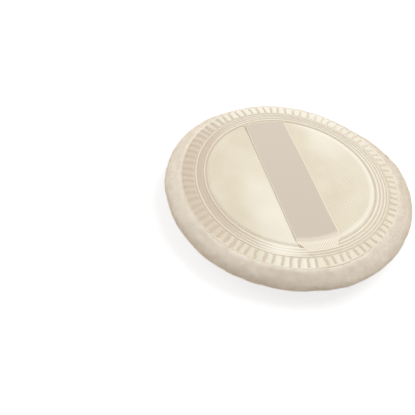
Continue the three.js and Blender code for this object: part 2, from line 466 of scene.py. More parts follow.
def struck(back, x, y):
    """How far the weld is crushed flatter and darkened with painted shade, most on one side.

    The outermost ridge and the satin's edge are spared.
    """
    r = np.maximum(np.hypot(x, y), MM)
    ring_outer, _, disc = weld_radii(back)
    side = smooth(0.3, 0.95, np.cos(np.arctan2(y, x) - back.crush_and_shade_way))
    top = ring_outer + (back.ring_drift[0] * x + back.ring_drift[1] * y) / r - 0.4 * MM
    ridge = bell(r - top, 0.35 * MM)
    edge = smooth(back.radius - 0.5 * MM, back.radius - 0.2 * MM, r)
    spared = 1 - np.maximum(0.7 * ridge, 0.8 * edge)
    return side * spared * smooth(disc, disc + back.shoulder + 1.5 * MM, r)


def painted_highlight(back, x, y):
    """How much painted highlight the satin gets, and painted shade where it is below zero.

    The loose disc gets the painted highlight beside the ribbon towards its near end, and by the weld across
    from there, in random patches. The ribs get the most where they run along the warp.
    """
    ring_outer, _, disc = weld_radii(back)
    r = np.hypot(x, y)
    along, side = x / disc, y / disc
    beside = smooth(-0.8, 0.7, along) * smooth(-0.8, -0.45, side) * smooth(0, -0.25, side)
    across = smooth(0.2, -0.8, along) * smooth(0.3, 0.7, side)
    patchy = 0.3 * waver(np.stack([x, y, 0 * x], axis=1), 9 * MM, 4)
    disc_highlight = 0.8 * beside + across + patchy - 0.1
    loose = 1 - smooth(disc - 1 * MM, disc + 1 * MM, r)
    # Painted highlight on the weld: brightest by the ribbon's far end, and on its ribs by both ends; less
    # on the side with painted shade.
    turn = np.arctan2(y, x) - math.radians(170)
    dull = struck(back, x, y)
    rings = (1.3 + 0.4 * np.cos(turn)) * (1 - 0.2 * dull)
    ribs = (0.45 + 0.3 * np.cos(2 * turn) + 0.5 * np.cos(turn)) * (1 - 0.8 * dull)
    weld = rings + (ribs - rings) * smooth(ring_outer - 0.3 * MM, ring_outer + 0.3 * MM, r)
    weld = weld * smooth(disc, disc + 2 * back.shoulder, r) + 0.6 * beside
    # Painted highlight along one side of the disc's shoulder.
    brow = smooth(-0.2, 0.8, np.cos(turn + math.radians(95))) * bell(r - disc, 0.9 * MM)
    return back.painted_sheen_strength * (loose * disc_highlight + (1 - loose) * weld + brow)


def at_edge(back, low, r):
    """1 at the satin's edge, and less and less inwards to low and out onto the pile."""
    return smooth(low, back.radius, r) - smooth(back.radius, back.radius + 4 * MM, r)


def stray(back, points):
    """Moves the trimmed edge of the satin, and the pile that meets it, in and out a little."""
    x, y, _ = points.T
    r = np.hypot(x, y)
    turn = np.arctan2(y, x)
    waves = 0.5 * np.sin(5 * turn + 1) + 0.3 * np.sin(11 * turn) + 0.2 * np.sin(23 * turn)
    out = back.wander * at_edge(back, weld_radii(back)[0], r) * waves
    points += np.stack([out * x / r, out * y / r, 0 * r], axis=1)


def slip(back, points):
    """Moves the ridges inwards on one side, and the satin's edge outwards at the ribbon's near end."""
    x, y, _ = points.T
    r = np.maximum(np.hypot(x, y), MM)
    turn = np.arctan2(y, x)
    ring_outer, ring_inner, _ = weld_radii(back)
    ridges = smooth(ring_inner - 12 * MM, ring_inner, r) * (1 - smooth(ring_inner, back.radius, r))
    pull = back.ring_pull * ridges * lobe(turn, back.ring_pull_way, 3)
    reach = back.reach * at_edge(back, ring_outer, r) * lobe(turn, back.reach_way, 8)
    points[:, :2] *= (1 + (reach - pull) / r)[:, None]


def slip_mesh(back, mesh):
    """Moves the ridges and the edge of a finished mesh."""
    moved = places(mesh)
    slip(back, moved)
    mesh.vertices.foreach_set("co", moved.ravel())
    mesh.update()


def strap_half(back, ribbon, x, r):
    """Half the width of the ribbon, which is gathered at its near end."""
    _, _, disc = weld_radii(back)
    near = smooth(disc - 0.6 * MM, disc + 3.4 * MM, np.where(x > 0, r, 0))
    return ribbon.width / 2 - ribbon.gather * near


def slump(velour, points, level):
    """Thins the roll on one side and fills it on the others, and keeps its section round."""
    x, y, z = points.T
    r = np.hypot(x, y)
    turn = np.arctan2(y, x)
    out = velour.slump * (0.5 - 2 * lobe(turn, velour.slump_way, 3.2))
    for way in velour.bulge_ways:
        out = out + velour.bulge * lobe(turn, way, 7)
    for way in velour.pinch_ways:
        out = out - velour.pinch * lobe(turn, way, 14)
    out *= np.clip((r - velour.radius) / velour.roll_width + 1, 0, 1)
    drop = 0.6 * np.minimum(out, 0) * np.maximum(z - level, 0) / velour.roll_height
    points += np.stack([out * x / r, out * y / r, drop], axis=1)


def puff_up(profile, held, segments):
    """Blows the pouch up in a cloth simulation, held at the weld, and returns how far each ring moves.

    profile lists [radius, height] of the rings from the face to the weld.
    """
    scene = bpy.context.scene
    rings = [ring(r * SIM_SCALE, z * SIM_SCALE, segments) for r, z in profile]
    mesh = stack_rings(
        "pouch_trial", rings, start=(0, 0, rings[0][0][2]), end=(0, 0, rings[-1][0][2])
    )
    trial = new_piece("pouch_trial", mesh, None)
    weld = trial.vertex_groups.new(name="weld")
    held_from = (len(rings) - held) * segments
    weld.add(list(range(held_from, len(rings) * segments)) + [len(mesh.vertices) - 1], 1.0, "ADD")
    cloth = trial.modifiers.new("Cloth", "CLOTH")
    cloth.settings.vertex_group_mass = "weld"
    cloth.settings.use_pressure = True
    cloth.settings.uniform_pressure_force = 4.0
    cloth.settings.shrink_min = -0.02
    cloth.settings.effector_weights.gravity = 0.0
    cloth.point_cache.frame_start = 1
    cloth.point_cache.frame_end = SIM_FRAMES
    for step in range(1, SIM_FRAMES + 1):
        scene.frame_set(step)
    graph = bpy.context.evaluated_depsgraph_get()
    moved = places(trial.evaluated_get(graph).data)
    scene.frame_set(1)
    bpy.data.objects.remove(trial)
    bpy.data.meshes.remove(mesh)
    kept = len(rings) * segments
    return (moved[:kept] - np.concatenate(rings)).reshape(len(rings), segments, 3) / SIM_SCALE


def velour_material(velour):
    # Cotton velour, knitted in loops and sheared: a dull, soft pile that is lighter where it stands
    # up and deeper where it leans, with a faint bloom at the edges.
    made, tree, shader, place = new_material("Cotton velour, sheared pile")
    patches = add_node(
        tree, "ShaderNodeTexNoise", {"Vector": place, "Scale": 1 / (2.2 * MM), "Detail": 3.0}
    )
    standing = add_node(
        tree, "ShaderNodeMapRange", {"Value": patches.outputs["Fac"], "From Min": 0.25, "From Max": 0.75}
    )
    tone = add_node(tree, "ShaderNodeMix", {0: standing, 6: velour.deep, 7: velour.pale}, data_type="RGBA")
    bloom = {"Sheen Weight": 0.35, "Sheen Roughness": 0.5}
    dull = {"Roughness": 0.95, "Specular IOR Level": 0.15}
    set_inputs(tree, shader, {"Base Color": tone.outputs[2], **dull, **bloom})
    return made


def satin_weave(tree, place, back):
    """Colour and height of the satin's slanting grain, with a painted highlight, and painted shade in the
    grooves and on one side of the weld.

    The real threads are about 0.1 mm apart, too fine to show, so the grain is drawn 0.64 mm apart and
    broken every 1 mm.
    """
    bands = []
    for slant, apart in ((45, 0.64 * MM), (-38, 1.0 * MM)):
        slanted = add_node(
            tree, "ShaderNodeMapping", {"Vector": place, "Rotation": (0.0, 0.0, math.radians(slant))}
        )
        band = add_node(
            tree, "ShaderNodeTexWave",
            {"Vector": slanted, "Scale": math.pi / (10 * apart), "Distortion": 2.0, "Detail": 1.0},
            wave_type="BANDS", bands_direction="X",
        )
        bands.append(band.outputs["Fac"])
    broken = add_node(tree, "ShaderNodeMath", {0: bands[1], 1: 0.6, 2: 0.4}, operation="MULTIPLY_ADD")
    weave = add_node(tree, "ShaderNodeMath", {0: bands[0], 1: broken}, operation="MULTIPLY")
    clouds = add_node(tree, "ShaderNodeTexNoise", {"Vector": place, "Scale": 1 / (8 * MM), "Detail": 3.0})
    # Painted highlight: the stored value lifts the mix towards pale and then towards the bright colour, and
    # painted shade lowers it where it is below zero.
    painted_sheen_here = add_node(tree, "ShaderNodeAttribute", attribute_name="sheen")
    ground = add_node(
        tree, "ShaderNodeMath",
        {0: clouds.outputs["Fac"], 1: 0.5, 2: painted_sheen_here.outputs["Fac"]},
        operation="MULTIPLY_ADD",
    )
    share = add_node(
        tree, "ShaderNodeMath", {0: weave, 1: 0.75, 2: ground}, operation="MULTIPLY_ADD", use_clamp=True
    )
    floats = add_node(tree, "ShaderNodeMix", {0: share, 6: back.deep, 7: back.pale}, data_type="RGBA")
    tone = add_node(
        tree, "ShaderNodeMix",
        {0: painted_sheen_here.outputs["Fac"], 6: floats.outputs[2], 7: back.bright},
        data_type="RGBA",
    )
    # Painted shade: the grooves and floors, and most of all one side of the weld, are mixed towards the
    # dull colour.
    dulled = add_node(tree, "ShaderNodeAttribute", attribute_name="dulled")
    grooved = add_node(tree, "ShaderNodeAttribute", attribute_name="grooved")
    tops = add_node(
        tree, "ShaderNodeMapRange",
        {"Value": dulled.outputs["Fac"], "From Min": 0.5, "To Min": 0.0, "To Max": 0.65},
    )
    floors = add_node(
        tree, "ShaderNodeMapRange", {"Value": dulled.outputs["Fac"], "To Min": 0.5, "To Max": 0.95}
    )
    shade_share = add_node(
        tree, "ShaderNodeMix", {0: grooved.outputs["Fac"], 2: tops, 3: floors}, data_type="FLOAT"
    )
    dressed = add_node(tree, "ShaderNodeMix", {0: shade_share, 6: tone.outputs[2], 7: back.dull}, data_type="RGBA")
    return dressed.outputs[2], weave.outputs[0]


def satin_material(back):
    # Polyester satin, warp faced: long floats give a broad strong gloss over a greyer ground, and a fine
    # slanting grain. A painted highlight is added to the colour, and painted shade in the grooves and on
    # one side of the weld.
    made, tree, shader, place = new_material("Polyester satin, warp faced")
    tone, weave = satin_weave(tree, place, back)
    bump = add_node(tree, "ShaderNodeBump", {"Strength": 0.2, "Distance": 0.04 * MM, "Height": weave})
    glossy = {"Roughness": 0.5, "Specular IOR Level": 0.4}
    set_inputs(tree, shader, {"Base Color": tone, "Normal": bump, **glossy})
    return made


def ribbon_material(ribbon, back):
    # Polyester ribbon, close woven: fine threads along it, a soft even gloss, and paler looped edges.
    # The threads are about 0.1 mm apart and are drawn 0.28 mm apart so that they show. The fused ends
    # are pressed into the satin and look like it.
    made, tree, shader, place = new_material("Polyester ribbon, close woven")
    thread = 0.28 * MM
    bands = []
    for direction in ("X", "Y"):
        band = add_node(
            tree, "ShaderNodeTexWave",
            {"Vector": place, "Scale": math.pi / (10 * thread), "Distortion": 0.6},
            wave_type="BANDS", bands_direction=direction,
        )
        bands.append(band.outputs["Fac"])
    weave = add_node(tree, "ShaderNodeMath", {0: bands[0], 1: bands[1]}, operation="MULTIPLY")
    # Paler looped edges, dimmed on one side as painted shade; a painted highlight where the near end turns
    # down; painted shade a little towards the near end.
    edge = add_node(tree, "ShaderNodeAttribute", attribute_name="edge")
    share = add_node(
        tree, "ShaderNodeMath",
        {0: weave, 1: 0.15, 2: edge.outputs["Fac"]},
        operation="MULTIPLY_ADD", use_clamp=True,
    )
    tone = add_node(tree, "ShaderNodeMix", {0: share, 6: ribbon.deep, 7: ribbon.pale}, data_type="RGBA")
    fused = add_node(tree, "ShaderNodeAttribute", attribute_name="fused")
    satin_tone, satin_grain = satin_weave(tree, place, back)
    colour_here = add_node(
        tree, "ShaderNodeMix",
        {0: fused.outputs["Fac"], 6: tone.outputs[2], 7: satin_tone},
        data_type="RGBA",
    )
    height = add_node(
        tree, "ShaderNodeMix", {0: fused.outputs["Fac"], 2: weave, 3: satin_grain}, data_type="FLOAT"
    )
    rough = add_node(
        tree, "ShaderNodeMapRange", {"Value": fused.outputs["Fac"], "To Min": 0.55, "To Max": 0.5}
    )
    bump = add_node(tree, "ShaderNodeBump", {"Strength": 0.25, "Distance": 0.04 * MM, "Height": height})
    look = {"Base Color": colour_here.outputs[2], "Normal": bump, "Roughness": rough}
    set_inputs(tree, shader, {**look, "Specular IOR Level": 0.33})
    return made


def foam_material(filling):
    # Polyurethane foam, open cell: a dull cream sponge with small round pores.
    made, tree, shader, place = new_material("Polyurethane foam, open cell")
    cells = add_node(tree, "ShaderNodeTexVoronoi", {"Vector": place, "Scale": 1 / (0.7 * MM)})
    # The pores are darkened as painted shade.
    pores = add_node(
        tree, "ShaderNodeMix",
        {0: cells.outputs["Distance"], 6: linear("c9b995"), 7: filling.foam},
        data_type="RGBA",
    )
    bump = add_node(
        tree, "ShaderNodeBump", {"Strength": 0.6, "Distance": 0.2 * MM, "Height": cells.outputs["Distance"]}
    )
    set_inputs(tree, shader, {"Base Color": pores.outputs[2], "Normal": bump, "Roughness": 0.95})
    return made


def film_material(filling):
    # Vinyl film, calendered: milky, with a faint grain from the rollers.
    made, tree, shader, place = new_material("Vinyl film, calendered")
    grain = add_node(tree, "ShaderNodeTexNoise", {"Vector": place, "Scale": 1 / (1.5 * MM), "Detail": 2.0})
    tone = add_node(
        tree, "ShaderNodeMix",
        {0: grain.outputs["Fac"], 6: linear("dcd5c7"), 7: filling.film},
        data_type="RGBA",
    )
    set_inputs(tree, shader, {"Base Color": tone.outputs[2], "Roughness": 0.45})
    return made


def pile_tree():
    """Tufts of fibres on a cloth, longer and shorter in knitted rows, that lean in soft patches."""
    tree, given = new_tree(
        "Velour Pile",
        [
            ("Nap", "NodeSocketString"),
            ("Density", "NodeSocketFloat"),
            ("Length", "NodeSocketFloat"),
            ("Width", "NodeSocketFloat"),
            ("Row Pitch", "NodeSocketFloat"),
            ("Map Width", "NodeSocketFloat"),
            ("Seed", "NodeSocketInt"),
            ("Material", "NodeSocketMaterial"),
        ],
    )
    nap = add_node(tree, "GeometryNodeInputNamedAttribute", {"Name": given["Nap"]}, data_type="FLOAT")
    density = add_node(tree, "ShaderNodeMath", {0: nap, 1: given["Density"]}, operation="MULTIPLY")
    roots = add_node(
        tree, "GeometryNodeDistributePointsOnFaces",
        {"Mesh": given["Geometry"], "Density": density, "Seed": given["Seed"]},
        distribute_method="RANDOM",
    )
    place = add_node(tree, "GeometryNodeInputPosition").outputs[0]
    brushed = add_node(
        tree, "ShaderNodeTexNoise", {"Vector": place, "Scale": 1 / (4 * MM)}, noise_dimensions="3D"
    )
    patch = add_node(
        tree, "ShaderNodeVectorMath",
        {0: brushed.outputs["Color"], 1: (0.7, 0.7, 0.7), 2: (-0.35, -0.35, -0.35)},
        operation="MULTIPLY_ADD",
    )
    own_lean = add_node(
        tree, "FunctionNodeRandomValue",
        {0: (-0.3, -0.3, -0.3), 1: (0.3, 0.3, 0.3), "Seed": given["Seed"]},
        data_type="FLOAT_VECTOR",
    )
    lean = add_node(tree, "ShaderNodeVectorMath", {0: patch, 1: own_lean}, operation="ADD")
    way = add_node(tree, "ShaderNodeVectorMath", {0: roots.outputs["Normal"], 1: lean}, operation="ADD")
    turn = add_node(tree, "FunctionNodeAlignRotationToVector", {"Vector": way}, axis="Z")
    along = add_node(
        tree, "ShaderNodeVectorMath", {0: place, 1: (0.94, 0.34, 0.0)}, operation="DOT_PRODUCT"
    )
    row = add_node(
        tree, "ShaderNodeMath", {0: along.outputs["Value"], 1: given["Row Pitch"]}, operation="DIVIDE"
    )
    rows = add_node(tree, "ShaderNodeMath", {0: row, 1: 0.5}, operation="PINGPONG")
    tall = add_node(
        tree, "ShaderNodeMapRange", {"Value": rows, "From Max": 0.5, "To Min": 0.85, "To Max": 1.0}
    )
    even = add_node(
        tree, "FunctionNodeRandomValue", {2: 0.7, 3: 1.05, "Seed": given["Seed"]}, data_type="FLOAT"
    )
    share = add_node(tree, "ShaderNodeMath", {0: tall, 1: even.outputs[1]}, operation="MULTIPLY")
    high = add_node(tree, "ShaderNodeMath", {0: share, 1: given["Length"]}, operation="MULTIPLY")
    scale = add_node(tree, "ShaderNodeCombineXYZ", {"X": given["Width"], "Y": given["Width"], "Z": high})
    tuft = add_node(
        tree, "GeometryNodeMeshCone",
        {"Vertices": 3, "Radius Top": 0.0, "Radius Bottom": 0.5, "Depth": 1.0},
        fill_type="NGON",
    )
    tufts = add_node(
        tree, "GeometryNodeInstanceOnPoints",
        {
            "Points": roots.outputs["Points"],
            "Instance": tuft.outputs["Mesh"],
            "Rotation": turn,
            "Scale": scale,
        },
    )
    real = add_node(tree, "GeometryNodeRealizeInstances", {"Geometry": tufts})
    pressed = add_node(
        tree, "ShaderNodeVectorMath", {0: place, 1: (-1.0, -1.0, 0.02 * MM)}, operation="MAXIMUM"
    )
    flat = add_node(tree, "GeometryNodeSetPosition", {"Geometry": real, "Position": pressed})
    # Each tuft is shaded with the cloth under it, as a soft nap is.
    soft = add_node(
        tree, "GeometryNodeSetMeshNormal",
        {"Mesh": flat, "Custom Normal": roots.outputs["Normal"]},
        mode="FREE", domain="POINT",
    )
    spread = add_node(tree, "ShaderNodeVectorMath", {0: place, 1: given["Map Width"]}, operation="DIVIDE")
    spot = add_node(tree, "ShaderNodeVectorMath", {0: spread, 1: (0.5, 0.5, 0.0)}, operation="ADD")
    mapped = add_node(
        tree, "GeometryNodeStoreNamedAttribute",
        {"Geometry": soft, "Name": BAKE_MAP, "Value": spot},
        data_type="FLOAT2", domain="CORNER",
    )
    dressed = add_node(tree, "GeometryNodeSetMaterial", {"Geometry": mapped, "Material": given["Material"]})
    add_node(tree, "NodeGroupOutput", {"Geometry": dressed})
    return tree


def weld_tree():
    """The marks of the heated press: concentric ridges, then a band of radial ribs."""
    tree, given = new_tree(
        "Press Marks",
        [
            ("Ring Inner", "NodeSocketFloat"),
            ("Ring Outer", "NodeSocketFloat"),
            ("Ring Drift", "NodeSocketVector"),
            ("Ring Count", "NodeSocketFloat"),
            ("Ring Height", "NodeSocketFloat"),
            ("Ring Crowding", "NodeSocketFloat"),
            ("Seam", "NodeSocketFloat"),
            ("Rib Outer", "NodeSocketFloat"),
            ("Rib Count", "NodeSocketFloat"),
            ("Rib Height", "NodeSocketFloat"),
            ("Groove", "NodeSocketFloat"),
            ("Hem", "NodeSocketFloat"),
            ("Pucker", "NodeSocketFloat"),
            ("Material", "NodeSocketMaterial"),
        ],
    )
    sharpness = 2.6  # how narrow the tops of the ridges are
    seam_half = 0.45 * MM
    rib_patch, crease_patch = 6 * MM, 1.4 * MM  # how soon the ribs and the creases change
    place = add_node(tree, "GeometryNodeInputPosition").outputs[0]
    plan = add_node(tree, "ShaderNodeVectorMath", {0: place, 1: (1.0, 1.0, 0.0)}, operation="MULTIPLY")
    radius = add_node(tree, "ShaderNodeVectorMath", {0: plan}, operation="LENGTH").outputs["Value"]
    parts = add_node(tree, "ShaderNodeSeparateXYZ", {0: place})
    bearing = add_node(
        tree, "ShaderNodeMath", {0: parts.outputs["Y"], 1: parts.outputs["X"]}, operation="ARCTAN2"
    )
    outward = add_node(tree, "ShaderNodeVectorMath", {0: plan}, operation="NORMALIZE")
    drift = add_node(
        tree, "ShaderNodeVectorMath", {0: outward, 1: given["Ring Drift"]}, operation="DOT_PRODUCT"
    )
    ring_outer = add_node(
        tree, "ShaderNodeMath", {0: given["Ring Outer"], 1: drift.outputs["Value"]}, operation="ADD"
    ).outputs[0]
    # Ridges
    across = add_node(
        tree, "ShaderNodeMapRange",
        {"Value": radius, "From Min": given["Ring Inner"], "From Max": ring_outer},
    )
    crowded = add_node(tree, "ShaderNodeMath", {0: across, 1: given["Ring Crowding"]}, operation="POWER")
    turns = add_node(tree, "ShaderNodeMath", {0: crowded, 1: given["Ring Count"]}, operation="MULTIPLY")
    phase = add_node(tree, "ShaderNodeMath", {0: turns, 1: math.pi}, operation="MULTIPLY")
    sine = add_node(tree, "ShaderNodeMath", {0: phase}, operation="SINE")
    hump = add_node(tree, "ShaderNodeMath", {0: sine}, operation="ABSOLUTE")
    sharp = add_node(tree, "ShaderNodeMath", {0: hump, 1: sharpness}, operation="POWER")
    # The inner ridges are crushed on the side that the press struck hardest.
    dulled = add_node(tree, "GeometryNodeInputNamedAttribute", {"Name": "dulled"}, data_type="FLOAT")
    from_middle = add_node(tree, "ShaderNodeMath", {0: crowded, 1: 0.5}, operation="SUBTRACT")
    apart = add_node(tree, "ShaderNodeMath", {0: from_middle}, operation="ABSOLUTE")
    among = add_node(
        tree, "ShaderNodeMapRange",
        {"Value": apart, "From Min": 0.2, "From Max": 0.3, "To Min": 0.9, "To Max": 0.0},
        interpolation_type="SMOOTHSTEP",
    )
    crushed = add_node(tree, "ShaderNodeMath", {0: among, 1: dulled}, operation="MULTIPLY")
    spared = add_node(tree, "ShaderNodeMath", {0: 1.0, 1: crushed}, operation="SUBTRACT")
    ridge = add_node(tree, "ShaderNodeMath", {0: sharp, 1: spared}, operation="MULTIPLY")
    # A crease shuts the weld off from the loose disc.
    from_disc = add_node(tree, "ShaderNodeMath", {0: radius, 1: given["Ring Inner"]}, operation="SUBTRACT")
    off_disc = add_node(tree, "ShaderNodeMath", {0: from_disc}, operation="ABSOLUTE")
    seam = add_node(
        tree, "ShaderNodeMapRange",
        {"Value": off_disc, "From Max": seam_half, "To Min": 1.0, "To Max": 0.0},
        interpolation_type="SMOOTHSTEP",
    )
    sunk = add_node(tree, "ShaderNodeMath", {0: seam, 1: given["Seam"]}, operation="MULTIPLY")
    raised = add_node(tree, "ShaderNodeMath", {0: ridge, 1: given["Ring Height"]}, operation="MULTIPLY")
    ridges = add_node(tree, "ShaderNodeMath", {0: raised, 1: sunk}, operation="SUBTRACT")
    # Ribs
    uneven = add_node(
        tree, "ShaderNodeTexNoise", {"Vector": place, "Scale": 1 / rib_patch}, noise_dimensions="3D"
    )
    share = add_node(tree, "ShaderNodeMath", {0: bearing, 1: given["Rib Count"]}, operation="MULTIPLY")
    turn = add_node(tree, "ShaderNodeMath", {0: share, 1: 2 * math.pi}, operation="DIVIDE")
    strayed = add_node(
        tree, "ShaderNodeMath", {0: uneven.outputs["Fac"], 1: 0.9, 2: turn}, operation="MULTIPLY_ADD"
    )
    side = add_node(tree, "ShaderNodeMath", {0: strayed, 1: 0.5}, operation="PINGPONG")
    pitch = add_node(tree, "ShaderNodeMath", {0: radius, 1: given["Rib Count"]}, operation="DIVIDE")
    arc = add_node(tree, "ShaderNodeMath", {0: pitch, 1: 2 * math.pi}, operation="MULTIPLY")
    off = add_node(tree, "ShaderNodeMath", {0: side, 1: arc}, operation="MULTIPLY")
    wide = add_node(
        tree, "ShaderNodeMapRange",
        {"Value": uneven.outputs["Fac"], "From Min": 0.3, "From Max": 0.7, "To Min": 0.65, "To Max": 0.35},
    )
    widened = add_node(tree, "ShaderNodeMath", {0: dulled, 1: 0.55, 2: wide}, operation="MULTIPLY_ADD")
    half = add_node(tree, "ShaderNodeMath", {0: given["Groove"], 1: widened}, operation="MULTIPLY")
    bed = add_node(tree, "ShaderNodeMath", {0: given["Groove"], 1: 5.0}, operation="DIVIDE")
    wall = add_node(
        tree, "ShaderNodeMapRange",
        {"Value": off, "From Min": bed, "From Max": half},
        interpolation_type="SMOOTHSTEP",
    )
    pillow = add_node(
        tree, "ShaderNodeMapRange", {"Value": side, "From Max": 0.5, "To Min": 0.7, "To Max": 1.0}
    )
    domed = add_node(tree, "ShaderNodeMath", {0: wall, 1: pillow}, operation="MULTIPLY")
    hem_in = add_node(
        tree, "ShaderNodeMath", {0: given["Rib Outer"], 1: given["Hem"]}, operation="SUBTRACT"
    )
    hem_out = add_node(tree, "ShaderNodeMath", {0: hem_in, 1: given["Hem"]}, operation="SUBTRACT")
    hem = add_node(
        tree, "ShaderNodeMapRange",
        {"Value": radius, "From Min": hem_out, "From Max": hem_in},
        interpolation_type="SMOOTHSTEP",
    )
    rib = add_node(tree, "ShaderNodeMath", {0: domed, 1: hem}, operation="MAXIMUM")
    foot = add_node(
        tree, "ShaderNodeMath", {0: given["Groove"], 1: 0.5, 2: ring_outer}, operation="MULTIPLY_ADD"
    )
    rise = add_node(
        tree, "ShaderNodeMapRange",
        {"Value": radius, "From Min": ring_outer, "From Max": foot},
        interpolation_type="SMOOTHSTEP",
    )
    shaped = add_node(tree, "ShaderNodeMath", {0: rib, 1: rise}, operation="MULTIPLY")
    uncrushed = add_node(
        tree, "ShaderNodeMapRange", {"Value": dulled, "From Min": 0.5, "To Min": 1.0, "To Max": 0.4}
    )
    tall = add_node(tree, "ShaderNodeMath", {0: given["Rib Height"], 1: uncrushed}, operation="MULTIPLY")
    both = add_node(tree, "ShaderNodeMath", {0: shaped, 1: tall, 2: ridges}, operation="MULTIPLY_ADD")
    # Creases
    creases = add_node(
        tree, "ShaderNodeTexNoise", {"Vector": place, "Scale": 1 / crease_patch}, noise_dimensions="3D"
    )
    crease = add_node(
        tree, "ShaderNodeMapRange",
        {"Value": creases.outputs["Fac"], "From Min": 0.2, "From Max": 0.8, "To Min": -0.5, "To Max": 0.5},
    )
    creased = add_node(tree, "ShaderNodeMath", {0: crease, 1: given["Pucker"]}, operation="MULTIPLY")
    spread = add_node(tree, "ShaderNodeMath", {0: creased, 1: across}, operation="MULTIPLY")
    uneven_marks = add_node(tree, "ShaderNodeMath", {0: both, 1: spread}, operation="ADD")
    press = add_node(tree, "GeometryNodeInputNamedAttribute", {"Name": "press"}, data_type="FLOAT")
    lift = add_node(tree, "ShaderNodeMath", {0: uneven_marks, 1: press}, operation="MULTIPLY")
    up = add_node(tree, "ShaderNodeCombineXYZ", {"Z": lift})
    # The floors between the ridges and between the ribs, and the seam, are darkened with painted shade.
    shut = add_node(tree, "ShaderNodeMath", {0: wall, 1: hem}, operation="MAXIMUM")
    height = add_node(tree, "ShaderNodeMix", {0: rise, 2: ridge, 3: shut}, data_type="FLOAT")
    shade_share = add_node(
        tree, "ShaderNodeMapRange", {"Value": height, "From Max": 0.9, "To Min": 1.0, "To Max": 0.0}
    )
    in_weld = add_node(
        tree, "ShaderNodeMath", {0: radius, 1: given["Ring Inner"]}, operation="GREATER_THAN"
    )
    floors = add_node(tree, "ShaderNodeMath", {0: shade_share, 1: in_weld}, operation="MULTIPLY")
    deepest = add_node(tree, "ShaderNodeMath", {0: floors, 1: seam}, operation="MAXIMUM")
    grooved = add_node(tree, "ShaderNodeMath", {0: deepest, 1: press}, operation="MULTIPLY")
    marked = add_node(
        tree, "GeometryNodeStoreNamedAttribute",
        {"Geometry": given["Geometry"], "Name": "grooved", "Value": grooved},
        data_type="FLOAT", domain="POINT",
    )
    # Only the tops keep the painted highlight.
    tops = add_node(tree, "ShaderNodeMath", {0: 1.0, 1: grooved}, operation="SUBTRACT")
    sheen = add_node(tree, "GeometryNodeInputNamedAttribute", {"Name": "sheen"}, data_type="FLOAT")
    painted_sheen_here = add_node(tree, "ShaderNodeMath", {0: sheen, 1: tops}, operation="MULTIPLY")
    glossed = add_node(
        tree, "GeometryNodeStoreNamedAttribute",
        {"Geometry": marked, "Name": "sheen", "Value": painted_sheen_here},
        data_type="FLOAT", domain="POINT",
    )
    moved = add_node(tree, "GeometryNodeSetPosition", {"Geometry": glossed, "Offset": up})
    real = add_node(tree, "GeometryNodeRealizeInstances", {"Geometry": moved})
    dressed = add_node(tree, "GeometryNodeSetMaterial", {"Geometry": real, "Material": given["Material"]})
    add_node(tree, "NodeGroupOutput", {"Geometry": dressed})
    return tree


def press_values(back, material):
    """What the tree of press marks is given."""
    ring_outer, ring_inner, _ = weld_radii(back)
    return {
        "Ring Inner": ring_inner,
        "Ring Outer": ring_outer,
        "Ring Drift": tuple(back.ring_drift),
        "Ring Count": float(back.ring_count),
        "Ring Height": back.ring_height,
        "Ring Crowding": back.ring_crowding,
        "Seam": back.seam,
        "Rib Outer": back.radius,
        "Rib Count": float(back.rib_count),
        "Rib Height": back.rib_height,
        "Groove": back.groove,
        "Hem": back.hem,
        "Pucker": back.pucker,
        "Material": material,
    }


